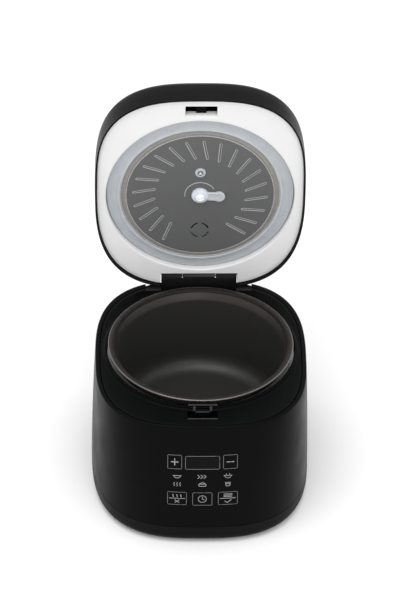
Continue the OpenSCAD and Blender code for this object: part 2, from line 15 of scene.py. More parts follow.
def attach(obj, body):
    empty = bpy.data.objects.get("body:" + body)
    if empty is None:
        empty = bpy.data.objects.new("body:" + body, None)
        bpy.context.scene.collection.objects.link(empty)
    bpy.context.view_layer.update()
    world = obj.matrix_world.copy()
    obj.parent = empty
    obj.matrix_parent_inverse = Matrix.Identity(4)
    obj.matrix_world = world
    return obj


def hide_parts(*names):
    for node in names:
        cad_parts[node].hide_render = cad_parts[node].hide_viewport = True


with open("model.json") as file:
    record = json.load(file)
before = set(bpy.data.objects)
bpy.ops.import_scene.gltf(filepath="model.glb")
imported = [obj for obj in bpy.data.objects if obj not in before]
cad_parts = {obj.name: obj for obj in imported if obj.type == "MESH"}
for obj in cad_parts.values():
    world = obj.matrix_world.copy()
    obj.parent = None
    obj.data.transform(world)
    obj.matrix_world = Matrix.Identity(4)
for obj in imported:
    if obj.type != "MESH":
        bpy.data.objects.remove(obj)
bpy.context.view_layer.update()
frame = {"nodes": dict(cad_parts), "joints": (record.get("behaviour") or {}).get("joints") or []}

MM = 0.001
SIDES = 256


# ---- Frame values, in millimetres ----

def node_box(node, matrix=None):
    """Lowest and highest corner of a CAD node, in millimetres, after an optional turn."""
    points = [(matrix @ v.co if matrix else v.co) / MM for v in frame["nodes"][node].data.vertices]
    low = Vector([min(p[k] for p in points) for k in range(3)])
    high = Vector([max(p[k] for p in points) for k in range(3)])
    return low, high


def hinge_turn():
    """The matrix that turns the closed lid to the open rest position."""
    joint = next(j for j in frame["joints"] if j["name"] == "lid_hinge")
    point = Vector(joint["pos_m"])
    turn = Matrix.Rotation(-math.radians(joint["range_deg"][1]), 4, "X")
    return Matrix.Translation(point) @ turn @ Matrix.Translation(-point), point / MM


OPEN, HINGE = hinge_turn()
CLOSE = OPEN.inverted()

SHELL_LOW, SHELL_HIGH = node_box("outer_shell")
SEAM_Z, DECK_Z = SHELL_LOW.z, SHELL_HIGH.z
BASE_LOW, BASE_HIGH = node_box("base_cover")
LID_LOW, LID_HIGH = node_box("lid_shell", CLOSE)
DECK_W, DECK_FRONT, DECK_BACK = LID_HIGH.x, -LID_LOW.y, LID_HIGH.y
PANEL_LOW, PANEL_HIGH = node_box("deck_frame")
LINER_Z = node_box("lid_liner", CLOSE)[0].z
PLATE_LOW, PLATE_HIGH = node_box("inner_plate", CLOSE)
GASKET_Z = node_box("lid_gasket", CLOSE)[0].z
POT_LOW, POT_HIGH = node_box("inner_pot")

BASE_N, DECK_N = 2.82, 2.93
BASE_WIDE_Y, DECK_WIDE_Y = -5.0, -15.0
DRAFT_POWER = 2.1
BASE_ROUND = 10.0
BASE_FLOOR_Z = BASE_LOW.z + 1.2
SEAM_CHAMFER, SEAM_GAP = 0.35, 0.15
WALL = 2.4
TROUGH_R, TROUGH_HALF_W = 17.6, 58.0
NOTCH_HALF_W, NOTCH_Y, LID_BEYOND = 42.0, 107.6, 140.0
COLLAR_R, COLLAR_Z, WELL_R = 105.0, 153.4, 101.6
COLLAR_FOOT, COLLAR_EDGE = 2.2, 0.8
DECK_DEPTH, POCKET_HALF_W = 6.6, 16.2
KEY_GAP, WINDOW_GAP, KEY_CORNER, KEY_DEPTH = 0.3, 0.1, 1.1, 2.2
POT_R, MOUTH_R, POT_WALL, POT_BEND = 89.5, 94.3, 1.5, 20.0
LID_WALL = 1.7
LINER_INSET, LINER_T, LINER_FLOOR_Z = 2.1, 2.2, 164.5
SLOT_HALF_W, SLOT_FRONT_Y, SLOT_BACK_Y = 17.35, -123.0, -107.0
RECESS_R, RECESS_EDGE = 102.5, 1.5
RIB_HEIGHT, RIB_COUNT, RIB_START = 0.7, 24, 6
PLATE_Z = PLATE_LOW.z + RIB_HEIGHT
PLATE_R, DISC_R, PLATE_T = PLATE_HIGH.x, 80.3, 1.0
STEAM_Y, SENSOR_Y = 49.0, -30.6
SENSOR_HOLE_R, STEAM_HOLE_R, CAP_HOLE_R = 4.2, 11.1, 24.2


# ---- Mesh helpers ----

def mesh(name, vertices, faces, body, slot, material, turn=None, replaces=(), sharp=32):
    """A piece from vertices in millimetres: placed, shaded, riding on its body."""
    data = bpy.data.meshes.new(name)
    data.from_pydata([Vector(v) * MM for v in vertices], [], faces)
    if turn is not None:
        data.transform(turn)
    return piece(name, data, body, material, replaces, sharp)


def piece(name, data, body, material, replaces=(), sharp=32):
    """A piece from mesh data in metres: cleaned, shaded, riding on its body."""
    data.validate()
    work = bmesh.new()
    work.from_mesh(data)
    bmesh.ops.remove_doubles(work, verts=work.verts, dist=1e-6)
    bmesh.ops.recalc_face_normals(work, faces=work.faces)
    work.to_mesh(data)
    work.free()
    shade(data, sharp)
    obj = bpy.data.objects.new(name, data)
    bpy.context.scene.collection.objects.link(obj)
    data.materials.clear()
    data.materials.append(material)
    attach(obj, body)
    if replaces:
        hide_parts(*replaces)
    return obj


def shade(data, angle):
    for face in data.polygons:
        face.use_smooth = True
    data.set_sharp_from_angle(angle=math.radians(angle))


def rings_to_mesh(rings, loop=False, caps=True):
    """Vertices and faces through closed rings of equal count. loop joins the last ring to the first."""
    count = len(rings[0])
    vertices = [p for ring in rings for p in ring]
    faces = []
    spans = len(rings) if loop else len(rings) - 1
    for j in range(spans):
        k = (j + 1) % len(rings)
        for i in range(count):
            n = (i + 1) % count
            faces.append((j * count + i, j * count + n, k * count + n, k * count + i))
    if caps and not loop:
        faces.append(tuple(reversed(range(count))))
        faces.append(tuple((len(rings) - 1) * count + i for i in range(count)))
    return vertices, faces


def circle(r, z, count=SIDES, centre=(0, 0)):
    """Level ring of points at even angles."""
    turns = [math.tau * i / count for i in range(count)]
    return [(centre[0] + r * math.cos(t), centre[1] + r * math.sin(t), z) for t in turns]


def lathe(profile, count=SIDES, centre=(0, 0), loop=True):
    """Profile of (radius, height) points turned about a vertical axis."""
    return rings_to_mesh([circle(r, z, count, centre) for r, z in profile], loop=loop)


def squircle(a, front, back, wide, n, count=SIDES):
    """Rounded-square outline from y = -front to y = back, widest at y = wide, evenly spaced in angle."""
    points = []
    for i in range(count):
        t = math.tau * i / count
        c, s = math.cos(t), math.sin(t)
        b = wide + front if s < 0 else back - wide
        r = (abs(c / a) ** n + abs(s / b) ** n) ** (-1 / n)
        points.append((r * c, wide + r * s))
    return points


def arc(x, z, r, start, end, steps=8):
    """Points on a circle of radius r about (x, z), angles in degrees."""
    out = []
    for k in range(steps + 1):
        t = math.radians(start + (end - start) * k / steps)
        out.append((x + r * math.cos(t), z + r * math.sin(t)))
    return out


def spline(points, per_span=6):
    """Smooth curve through points (Catmull-Rom)."""
    pts = [Vector(p) for p in points]
    pts = [2 * pts[0] - pts[1], *pts, 2 * pts[-1] - pts[-2]]
    out = []
    for k in range(1, len(pts) - 2):
        p0, p1, p2, p3 = pts[k - 1:k + 3]
        for j in range(per_span):
            t = j / per_span
            out.append(0.5 * ((2 * p1) + (p2 - p0) * t + (2 * p0 - 5 * p1 + 4 * p2 - p3) * t * t
                              + (3 * p1 - 3 * p2 + p3 - p0) * t ** 3))
    out.append(pts[-2])
    return out


def rounded_rectangle(x0, x1, y0, y1, r, steps):
    """Outline with round corners, starting at the corner of x1 and y1."""
    centres = ((x1 - r, y1 - r), (x0 + r, y1 - r), (x0 + r, y0 + r), (x1 - r, y0 + r))
    outline = []
    for quarter, (x, y) in enumerate(centres):
        outline += arc(x, y, r, 90 * quarter, 90 * (quarter + 1), steps)
    return outline


def rounded_box(x0, x1, y0, y1, z0, z1, radius=0.0, axis="Z"):
    """Vertices and faces of a box with its edges along one axis rounded."""
    low, high = Vector((x0, y0, z0)), Vector((x1, y1, z1))
    u, v, w = {"Z": (0, 1, 2), "Y": (0, 2, 1), "X": (1, 2, 0)}[axis]
    outline = rounded_rectangle(low[u], high[u], low[v], high[v], max(radius, 1e-3), 6 if radius else 1)
    rings = []
    for level in (low[w], high[w]):
        ring = []
        for across, up in outline:
            point = [0, 0, 0]
            point[u], point[v], point[w] = across, up, level
            ring.append(tuple(point))
        rings.append(ring)
    return rings_to_mesh(rings)


def rod(r, x0, x1, y, z, count=96):
    """Cylinder along X."""
    return rings_to_mesh([[(x, *point) for point in arc(y, z, r, 0, 360, count)[:-1]] for x in (x0, x1)])


def bore(r, low, high, centre, count=48):
    """Round cutter on a vertical axis."""
    return lathe([(r, low), (r, high)], count, centre, loop=False)


def raised(base, points):
    """Profile points given as (radius, height above a base)."""
    return [(r, base + rise) for r, rise in points]


def merged(parts):
    """One list of vertices and faces from several."""
    vertices, faces = [], []
    for part_vertices, part_faces in parts:
        start = len(vertices)
        vertices += list(part_vertices)
        faces += [tuple(start + k for k in face) for face in part_faces]
    return vertices, faces


def temporary(vertices, faces):
    """An object in metres that only serves a cut."""
    data = bpy.data.meshes.new("cutter")
    data.from_pydata([Vector(v) * MM for v in vertices], [], faces)
    work = bmesh.new()
    work.from_mesh(data)
    bmesh.ops.recalc_face_normals(work, faces=work.faces)
    work.to_mesh(data)
    work.free()
    obj = bpy.data.objects.new("cutter", data)
    bpy.context.scene.collection.objects.link(obj)
    return obj


def carved(solid, cutters):
    """Mesh data in metres of a solid with each cutter taken away. Everything is in millimetres."""
    body = temporary(*solid)
    tools = [temporary(*c) for c in cutters]
    for tool in tools:
        step = body.modifiers.new("cut", "BOOLEAN")
        step.operation = "DIFFERENCE"
        step.solver = "EXACT"
        step.object = tool
    bpy.context.view_layer.update()
    data = bpy.data.meshes.new_from_object(body.evaluated_get(bpy.context.evaluated_depsgraph_get()))
    for obj in (body, *tools):
        bpy.data.objects.remove(obj)
    return data


def refined(node, body, material, width=0.4, segments=2):
    """A CAD node's shape with its facets merged and its edges rounded; it stands for that node."""
    data = frame["nodes"][node].data.copy()
    work = bmesh.new()
    work.from_mesh(data)
    bmesh.ops.remove_doubles(work, verts=work.verts, dist=2e-6)
    bmesh.ops.dissolve_limit(work, angle_limit=math.radians(1), verts=work.verts, edges=work.edges)
    work.to_mesh(data)
    work.free()
    obj = bpy.data.objects.new(node + "_part", data)
    bpy.context.scene.collection.objects.link(obj)
    step = obj.modifiers.new("edges", "BEVEL")
    step.width = width * MM
    step.segments = segments
    step.limit_method = "ANGLE"
    step.angle_limit = math.radians(40)
    bpy.context.view_layer.update()
    final = bpy.data.meshes.new_from_object(obj.evaluated_get(bpy.context.evaluated_depsgraph_get()))
    bpy.data.objects.remove(obj)
    return piece(node + "_part", final, body, material, (node,), 40)


# ---- Materials ----

def material(name):
    """A new material, its node tree and its shader."""
    mat = bpy.data.materials.new(name)
    mat.use_nodes = True
    tree = mat.node_tree
    return mat, tree, tree.nodes["Principled BSDF"]


def noise_value(tree, scale, detail=3.0, stretch=(1, 1, 1)):
    """Noise over the object's own place, in metres."""
    place = tree.nodes.new("ShaderNodeTexCoord")
    mapping = tree.nodes.new("ShaderNodeMapping")
    mapping.inputs["Scale"].default_value = stretch
    node = tree.nodes.new("ShaderNodeTexNoise")
    node.inputs["Scale"].default_value = scale
    node.inputs["Detail"].default_value = detail
    tree.links.new(place.outputs["Object"], mapping.inputs["Vector"])
    tree.links.new(mapping.outputs["Vector"], node.inputs["Vector"])
    return node.outputs["Fac"]


def spread(tree, value, low, high):
    """A 0 to 1 value mapped to low to high."""
    node = tree.nodes.new("ShaderNodeMapRange")
    node.inputs["From Min"].default_value = 0.3
    node.inputs["From Max"].default_value = 0.7
    node.inputs["To Min"].default_value = low
    node.inputs["To Max"].default_value = high
    tree.links.new(value, node.inputs["Value"])
    return node.outputs["Result"]


def two_tone(tree, value, first, second):
    """A colour between two, by a 0 to 1 value."""
    node = tree.nodes.new("ShaderNodeMix")
    node.data_type = "RGBA"
    node.inputs["A"].default_value = (*first, 1)
    node.inputs["B"].default_value = (*second, 1)
    tree.links.new(value, node.inputs["Factor"])
    return node.outputs["Result"]


def bump(tree, shader, value, strength, distance):
    node = tree.nodes.new("ShaderNodeBump")
    node.inputs["Strength"].default_value = strength
    node.inputs["Distance"].default_value = distance
    tree.links.new(value, node.inputs["Height"])
    tree.links.new(node.outputs["Normal"], shader.inputs["Normal"])


def moulded(name, colour, roughness, grain=2400.0, relief=0.12, ior=1.46, spread_by=0.06, tint=1.25):
    """Moulded plastic: fine spark-eroded grain, a little unevenness in gloss and tone."""
    mat, tree, shader = material(name)
    fine = noise_value(tree, grain, 2.0)
    broad = noise_value(tree, 38.0, 4.0)
    lighter = tuple(min(1.0, c * tint) for c in colour)
    tree.links.new(two_tone(tree, spread(tree, broad, 0, 1), colour, lighter), shader.inputs["Base Color"])
    gloss = spread(tree, broad, roughness - spread_by, roughness + spread_by)
    tree.links.new(gloss, shader.inputs["Roughness"])
    shader.inputs["IOR"].default_value = ior
    bump(tree, shader, fine, relief, 0.00006)
    return mat


def coated(name, colour, fleck, roughness=0.42, ior=1.42):
    """Non-stick coating: a dark coat with fine lighter flecks and a faint orange-peel surface."""
    mat, tree, shader = material(name)
    cells = tree.nodes.new("ShaderNodeTexVoronoi")
    cells.inputs["Scale"].default_value = 900.0
    place = tree.nodes.new("ShaderNodeTexCoord")
    tree.links.new(place.outputs["Object"], cells.inputs["Vector"])
    dots = tree.nodes.new("ShaderNodeMapRange")
    dots.inputs["From Min"].default_value = 0.12
    dots.inputs["From Max"].default_value = 0.2
    dots.inputs["To Min"].default_value = 1.0
    dots.inputs["To Max"].default_value = 0.0
    tree.links.new(cells.outputs["Distance"], dots.inputs["Value"])
    peel = noise_value(tree, 700.0, 3.0)
    tree.links.new(two_tone(tree, dots.outputs["Result"], colour, fleck), shader.inputs["Base Color"])
    tree.links.new(spread(tree, peel, roughness - 0.05, roughness + 0.07), shader.inputs["Roughness"])
    shader.inputs["IOR"].default_value = ior
    bump(tree, shader, peel, 0.12, 0.00008)
    return mat


def metal(name, colour, roughness=0.3, stretch=(1, 1, 30), metallic=1.0):
    """Drawn or turned metal with fine lines."""
    mat, tree, shader = material(name)
    lines = noise_value(tree, 420.0, 3.0, stretch)
    darker = tuple(c * 0.82 for c in colour)
    tree.links.new(two_tone(tree, spread(tree, lines, 0, 1), darker, colour), shader.inputs["Base Color"])
    tree.links.new(spread(tree, lines, roughness - 0.07, roughness + 0.09), shader.inputs["Roughness"])
    shader.inputs["Metallic"].default_value = metallic
    bump(tree, shader, lines, 0.06, 0.00004)
    return mat


def silicone(name, colour, roughness=0.36, depth=0.004):
    """Milky silicone that lets a little light through its skin."""
    mat, tree, shader = material(name)
    cloud = noise_value(tree, 90.0, 3.0)
    fine = noise_value(tree, 1600.0, 2.0)
    paler = tuple(min(1.0, c * 1.1) for c in colour)
    tree.links.new(two_tone(tree, spread(tree, cloud, 0, 1), colour, paler), shader.inputs["Base Color"])
    tree.links.new(spread(tree, cloud, roughness - 0.06, roughness + 0.08), shader.inputs["Roughness"])
    shader.inputs["Subsurface Weight"].default_value = 0.35
    shader.inputs["Subsurface Radius"].default_value = (1.0, 1.0, 1.1)
    shader.inputs["Subsurface Scale"].default_value = depth
    shader.inputs["IOR"].default_value = 1.41
    bump(tree, shader, fine, 0.05, 0.00005)
    return mat


M = {
    "shell": moulded("body black", (0.0012, 0.0012, 0.0013), 0.36, ior=1.14),
    "lid": moulded("lid black", (0.0040, 0.0040, 0.0041), 0.36, ior=1.16),
    "base": moulded("base black", (0.0030, 0.0030, 0.0031), 0.44, ior=1.17),
    "deck": moulded("deck black", (0.0018, 0.0023, 0.0021), 0.34, ior=1.13),
    "dark": moulded("dark fittings", (0.012, 0.012, 0.0125), 0.33, ior=1.4),
    "black": moulded("latch black", (0.0012, 0.0012, 0.0013), 0.36, ior=1.14),
    # The lighter grey of the latch edges is a painted highlight.
    "latch_highlight": moulded("latch edge highlights", (0.04, 0.04, 0.042), 0.28, relief=0.05),
    "hinge": moulded("hinge black", (0.006, 0.006, 0.0062), 0.4, ior=1.25),
    "keys": moulded("key black", (0.0012, 0.0012, 0.0013), 0.35, ior=1.14),
    "window": moulded("display window", (0.0010, 0.0010, 0.0011), 0.16, grain=600.0, relief=0.02, ior=1.18,
                      spread_by=0.03),
    "outline": moulded("printed outlines", (0.17, 0.17, 0.17), 0.55, relief=0.05, tint=1.08),
    "print": moulded("printed marks", (0.37, 0.37, 0.37), 0.55, relief=0.05, tint=1.08),
    "liner": moulded("liner white", (0.745, 0.745, 0.745), 0.34, grain=1800.0, relief=0.05, tint=1.03),
    "plate": coated("plate coating", (0.106, 0.107, 0.109), (0.145, 0.145, 0.146), 0.40),
    # The light colour of the rib edges and the ring mark is a painted highlight.
    "rib": coated("rib edges painted highlight", (0.36, 0.36, 0.357), (0.42, 0.42, 0.417), 0.3),
    "pot": coated("pot coating", (0.030, 0.029, 0.028), (0.075, 0.073, 0.07), 0.36),
    "flange": metal("pot flange", (0.026, 0.022, 0.019), 0.36, (1, 1, 1), 0.5),
    "shoulder": metal("pot shoulder", (0.036, 0.031, 0.028), 0.4, (1, 1, 1), 0.5),
    "rim": metal("pot rim edge", (0.20, 0.185, 0.175), 0.3, (1, 1, 1), 0.9),
    "bead": metal("plate rim", (0.30, 0.292, 0.275), 0.42, (1, 1, 1), 0.2),
    # The light colour of the plate rim's two edges is a painted highlight.
    "edge": metal("plate rim edge painted highlight", (0.75, 0.74, 0.72), 0.35, (1, 1, 1), 0.2),
    "gasket": silicone("gasket silicone", (0.425, 0.445, 0.47)),
    "knob": silicone("knob silicone", (0.56, 0.60, 0.65), 0.3, 0.003),
    "tab": silicone("tab silicone", (0.47, 0.485, 0.50), 0.3, 0.003),
    "tip": moulded("post tip", (0.96, 0.96, 0.96), 0.22, relief=0.03, tint=1.02),
    "rubber": moulded("foot rubber", (0.012, 0.012, 0.012), 0.75, grain=1200.0, relief=0.3),
    "steel": metal("steel", (0.56, 0.57, 0.58), 0.28),
    "aluminium": metal("aluminium", (0.66, 0.67, 0.68), 0.36, (30, 30, 1)),
    "copper": metal("heater foil", (0.55, 0.36, 0.2), 0.4),
    "board": moulded("circuit board", (0.02, 0.11, 0.045), 0.35, grain=500.0, relief=0.2),
    "ceramic": moulded("ceramic", (0.72, 0.71, 0.67), 0.5, relief=0.1, tint=1.06),
}


# ---- Body surface ----

def draft(z):
    """Share of the way from the belly's size to the deck's at height z."""
    return max(0.0, z / DECK_Z) ** DRAFT_POWER


def between(at_belly, at_deck, z):
    """A value at height z that goes from the belly's to the deck's."""
    return at_belly + (at_deck - at_belly) * draft(z)


def belly(measured, at_deck):
    """Size at the belly from the base cover's size, which is measured a little above the table."""
    return at_deck + (measured - at_deck) / (1 - draft(BASE_FLOOR_Z + BASE_ROUND))


BELLY_W, BELLY_FRONT, BELLY_BACK = (belly(m, d) for m, d in (
    (BASE_HIGH.x, DECK_W), (-BASE_LOW.y, DECK_FRONT), (BASE_HIGH.y, DECK_BACK)))


def body_ring(z, inset):
    """The body's outline at height z, drawn in by an inset."""
    outline = squircle(between(BELLY_W, DECK_W, z) - inset, between(BELLY_FRONT, DECK_FRONT, z) - inset,
                       between(BELLY_BACK, DECK_BACK, z) - inset, between(BASE_WIDE_Y, DECK_WIDE_Y, z),
                       between(BASE_N, DECK_N, z))
    return [(x, y, z) for x, y in outline]


def front_y(x, z):
    """The front surface of the body at x and z."""
    wide, n = between(BASE_WIDE_Y, DECK_WIDE_Y, z), between(BASE_N, DECK_N, z)
    share = 1 - (abs(x) / between(BELLY_W, DECK_W, z)) ** n
    return wide - (between(BELLY_FRONT, DECK_FRONT, z) + wide) * share ** (1 / n)


def flat_ring(outline, z):
    """An outline at height z."""
    return [(x, y, z) for x, y in outline]


def deck_outline(grow=0.0):
    """Outline of the deck panel inside the body's rim."""
    return squircle(PANEL_HIGH.x + grow, -PANEL_LOW.y + grow, PANEL_HIGH.y + grow, DECK_WIDE_Y, DECK_N)


def trough():
    """Cutter for the round hollow that the lid's back edge turns in."""
    return rod(TROUGH_R, -TROUGH_HALF_W, TROUGH_HALF_W, HINGE.y, HINGE.z)


def front_hole(box, gap, corner):
    """Cutter for a hole in the front wall, larger than a box of x0, x1, z0, z1 by a gap."""
    x0, x1, z0, z1 = box
    outside_y, inside_y = -150, -125
    return rounded_box(x0 - gap, x1 + gap, outside_y, inside_y, z0 - gap, z1 + gap, corner, "Y")


def body_shell():
    """Outer wall from the seam to the deck, open for the keys, the display, the inlet and the hinge."""
    edge, bands = 1.2, 44
    start = SEAM_Z + 0.5
    heights = [start + (DECK_Z - edge - start) * k / bands for k in range(bands + 1)]
    outside = [body_ring(SEAM_Z + SEAM_GAP, SEAM_CHAMFER), *[body_ring(z, 0) for z in heights]]
    rounding = [body_ring(z, edge - r) for r, z in arc(0, DECK_Z - edge, edge, 0, 90, 6)[1:]]
    lip = [flat_ring(deck_outline(grow), DECK_Z - drop) for grow, drop in ((1.0, 0), (0.6, 0.4), (0.6, 5))]
    inside = [body_ring(z, WALL) for z in (DECK_Z - 5, 110, 80, 50, SEAM_Z + SEAM_GAP)]
    cutters = [front_hole(box, KEY_GAP, KEY_CORNER + 0.2) for box in KEY_BOXES]
    cutters.append(front_hole(WINDOW, WINDOW_GAP, KEY_CORNER))
    inlet_w, inlet_h = 27, 19
    low, high = node_box("inlet_housing")
    inlet_z = (low.z + high.z - inlet_h) / 2
    cutters.append(rounded_box(-inlet_w / 2, inlet_w / 2, 110, 140, inlet_z, inlet_z + inlet_h, 2, "Y"))
    cutters.append(trough())
    data = carved(rings_to_mesh([*outside, *rounding, *lip, *inside], loop=True), cutters)
    piece("body_shell", data, "cooker_body", M["shell"], ("outer_shell",))


def base_cover():
    """Tray under the seam with a round lower edge, cooling slots, holes for the feet and a plinth ring."""
    r, bottom = BASE_ROUND, BASE_FLOOR_Z
    outside = [body_ring(bottom + r - z, r - inset) for z, inset in arc(0, 0, r, 0, 90, 10)]
    seam = SEAM_Z - SEAM_GAP
    upper = [body_ring(SEAM_Z - 0.5, 0), body_ring(seam, SEAM_CHAMFER), body_ring(seam, WALL)]
    inside = [body_ring(bottom + r, WALL), body_ring(bottom + WALL, r)]
    slot_half_w, slot_half_d, foot_hole_r = 2, 35, 4.3
    cutters = [rounded_box(x - slot_half_w, x + slot_half_w, -slot_half_d, slot_half_d, -1, 6, 1.9)
               for x in range(-40, 41, 10)]
    for x in (-84, 84):
        for y in (-98, 86):
            cutters.append(bore(foot_hole_r, -1, 16, (x, y)))
    data = carved(rings_to_mesh([*outside, *upper, *inside]), cutters)
    piece("base_tray", data, "cooker_body", M["base"], ("base_cover",))
    r0, r1, chamfer = 58, 64, 0.4
    ring = [(r0, bottom + 0.1), (r0, chamfer), (r0 + chamfer, 0), (r1 - chamfer, 0), (r1, chamfer),
            (r1, bottom + 0.1)]
    mesh("plinth_ring", *lathe(ring, 128), "cooker_body", "base_black", M["base"])


def deck():
    """Panel round the pot with a rounded outer edge, a raised collar and the latch pocket."""
    rounding = ((0, DECK_DEPTH), (0, 0.6), (0.2, 0.2), (0.6, 0))
    outer = [evened(flat_ring(deck_outline(-inset), DECK_Z - drop)) for inset, drop in rounding]
    flat = to_circle(outer[-1], COLLAR_R + COLLAR_FOOT, 8)
    top = COLLAR_Z - COLLAR_EDGE
    profile = arc(COLLAR_R + COLLAR_FOOT, DECK_Z + COLLAR_FOOT, COLLAR_FOOT, 270, 180, 6)[1:]
    profile += arc(COLLAR_R - COLLAR_EDGE, top, COLLAR_EDGE, 0, 90, 5)
    profile += arc(WELL_R + COLLAR_EDGE, top, COLLAR_EDGE, 90, 180, 5)
    profile.append((WELL_R, DECK_Z - DECK_DEPTH))
    collar = [circle(r, z) for r, z in profile]
    pocket = rounded_box(-POCKET_HALF_W, POCKET_HALF_W, -120, -106.5, DECK_Z - 4.4, DECK_Z + 9, 1.0)
    data = carved(rings_to_mesh([*outer, *flat, *collar], loop=True), [trough(), pocket])
    piece("deck_panel", data, "cooker_body", M["deck"], ("deck_frame",))


def to_circle(ring, r, steps):
    """Rings in equal steps from an evened ring to a circle of radius r at the same height."""
    start = [Vector(point) for point in ring]
    end = [Vector(point) for point in circle(r, ring[0][2])]
    return [[tuple(a.lerp(b, k / steps)) for a, b in zip(start, end)] for k in range(1, steps + 1)]


def evened(ring):
    """A level ring's points at even angles about the pot's axis, to pair with a circle's points."""
    count, z = len(ring), ring[0][2]
    angles = [math.atan2(y, x) % math.tau for x, y, _ in ring]
    first = min(range(count), key=lambda k: angles[k])
    order = [(first + k) % count for k in range(count)]
    sorted_angles = [angles[k] for k in order]
    out = []
    for i in range(count):
        t = math.tau * i / count
        k = bisect.bisect_right(sorted_angles, t)
        before, after = order[k - 1], order[k % count]
        gap = (angles[after] - angles[before]) % math.tau
        share = ((t - angles[before]) % math.tau) / gap if gap > 1e-9 else 0.0
        (ax, ay, _), (bx, by, _) = ring[before], ring[after]
        out.append((ax + (bx - ax) * share, ay + (by - ay) * share, z))
    return out


# ---- Keys and printed marks ----

KEYS = {"key_plus": "plus_key", "key_minus": "minus_key", "key_keep_warm": "keep_warm_key",
        "key_timer": "timer_key", "key_menu": "menu_key"}


def face_box(node):
    """A node's extent across and up the front, as x0, x1, z0, z1."""
    low, high = node_box(node)
    return low.x, high.x, low.z, high.z


KEY_BOXES = [face_box(node) for node in KEYS]
WINDOW = face_box("display_window")
WINDOW_SINK = 0.1


def front_slab(box, sink=0.0, edge=0.25):
    """A piece of the front wall with rounded corners and a softened edge."""
    x0, x1, z0, z1 = box
    cx, cz = (x0 + x1) / 2, (z0 + z1) / 2

    def ring(shrink, back):
        corner = max(KEY_CORNER - shrink, 0.2)
        outline = rounded_rectangle(x0 + shrink, x1 - shrink, z0 + shrink, z1 - shrink, corner, 6)
        dense = []
        for (x, z), (nx, nz) in zip(outline, outline[1:] + outline[:1]):
            dense += [(x + (nx - x) * t / 6, z + (nz - z) * t / 6) for t in range(6)]
        return [(x, front_y(x, z) + back, z) for x, z in dense]

    rings = [ring(0, KEY_DEPTH), ring(0, sink + edge)]
    for along, out in arc(0, 0, edge, 0, 90, 3)[1:]:
        rings.append(ring(edge - along, sink + edge - out))
    rim = rings[-1]
    for share in (0.75, 0.5, 0.25, 0.03):
        inner = [(cx + (x - cx) * share, cz + (z - cz) * share) for x, _, z in rim]
        rings.append([(x, front_y(x, z) + sink, z) for x, z in inner])
    return rings_to_mesh(rings)


class Marks:
    """Thin raised strokes that follow the body's front surface."""

    def __init__(self, width=0.55, lift=0.05, sink=0.0):
        self.parts, self.width, self.lift, self.sink = [], width, lift, sink

    def quad(self, corners):
        """A flat patch between four (x, z) corners, closed on all sides."""
        top = [(x, front_y(x, z) + self.sink - self.lift, z) for x, z in corners]
        under = [(x, front_y(x, z) + self.sink + 0.08, z) for x, z in corners]
        faces = [(0, 1, 2, 3), (7, 6, 5, 4)] + [(k, k + 4, (k + 1) % 4 + 4, (k + 1) % 4) for k in range(4)]
        self.parts.append((top + under, faces))

    def line(self, points, closed=False, width=None):
        """A stroke through (x, z) points."""
        half = (width or self.width) / 2
        points = [Vector(p) for p in points]
        if closed:
            points.append(points[0])
        for a, b in zip(points, points[1:]):
            if (b - a).length < 1e-6:
                continue
            along = (b - a).normalized()
            side, overlap = Vector((-along.y, along.x)) * half, along * half * 0.9
            steps = max(1, int((b - a).length / 2.5))
            stops = [a - overlap, *[a + (b - a) * k / steps for k in range(1, steps)], b + overlap]
            for p, q in zip(stops, stops[1:]):
                self.quad([p + side, p - side, q - side, q + side])

    def curve(self, cx, cz, r, start, end, steps=10, squash=1.0):
        """A stroke along an arc."""
        self.line([(cx + x, cz + z * squash) for x, z in arc(0, 0, r, start, end, steps)])

    def frame(self, box, inset, radius=0.9):
        """A closed stroke with round corners inside a box."""
        x0, x1, z0, z1 = box
        outline = rounded_rectangle(x0 + inset, x1 - inset, z0 + inset, z1 - inset, radius, 4)
        self.line(outline, closed=True)

    def build(self, name, body, look="print"):
        """The strokes as one piece."""
        mesh(name, *merged(self.parts), body, "key_black", M[look], sharp=20)


def icon_plus(m, x, z):
    m.line([(x - 3.6, z), (x + 3.6, z)], width=0.9)
    m.line([(x, z - 3.8), (x, z + 3.8)], width=0.9)


def icon_minus(m, x, z):
    m.line([(x - 3.6, z), (x + 3.6, z)], width=0.9)


def icon_warm(m, x, z):
    for dx in (-4.2, 0, 4.2):
        m.line([(x + dx + 0.7 * math.sin(t * 1.3), z + 1.9 + t * 0.62) for t in range(6)])
    m.line([(x - 8.2, z), (x + 8.2, z)])
    m.line([(x - 2.2, z - 2.2), (x + 2.2, z - 5.4)])
    m.line([(x - 2.2, z - 5.4), (x + 2.2, z - 2.2)])


def icon_clock(m, x, z):
    m.curve(x, z, 4.4, 0, 360, 20)
    m.line([(x, z + 2.8), (x, z), (x + 2.0, z - 1.1)])


def icon_menu(m, x, z):
    for k in range(3):
        m.line([(x - 4.4, z + 2.2 + k * 1.7), (x + 4.4, z + 2.2 + k * 1.7)])
    m.line([(x - 8.2, z), (x + 8.2, z)])
    m.line([(x - 3.2, z - 3.8), (x - 0.8, z - 5.6), (x + 3.6, z - 2.2)])


KEY_ICONS = (icon_plus, icon_minus, icon_warm, icon_clock, icon_menu)


def keys():
    """Five caps with a printed outline and a picture on each."""
    for (node, body), box, icon in zip(KEYS.items(), KEY_BOXES, KEY_ICONS):
        mesh(node + "_cap", *front_slab(box), body, "key_black", M["keys"], replaces=(node,), sharp=50)
        outline = Marks(width=0.45)
        outline.frame(box, 0.45)
        outline.build(node + "_outline", body, "outline")
        marks = Marks()
        icon(marks, (box[0] + box[1]) / 2, (box[2] + box[3]) / 2)
        marks.build(node + "_print", body)


def display():
    """Dark window, set a little behind the wall, with its printed outline."""
    mesh("display_glass", *front_slab(WINDOW, WINDOW_SINK), "cooker_body", "window_black", M["window"],
         replaces=("display_window",), sharp=50)
    outline = Marks(width=0.45, sink=WINDOW_SINK)
    outline.frame(WINDOW, 0.5)
    outline.build("display_outline", "cooker_body", "outline")


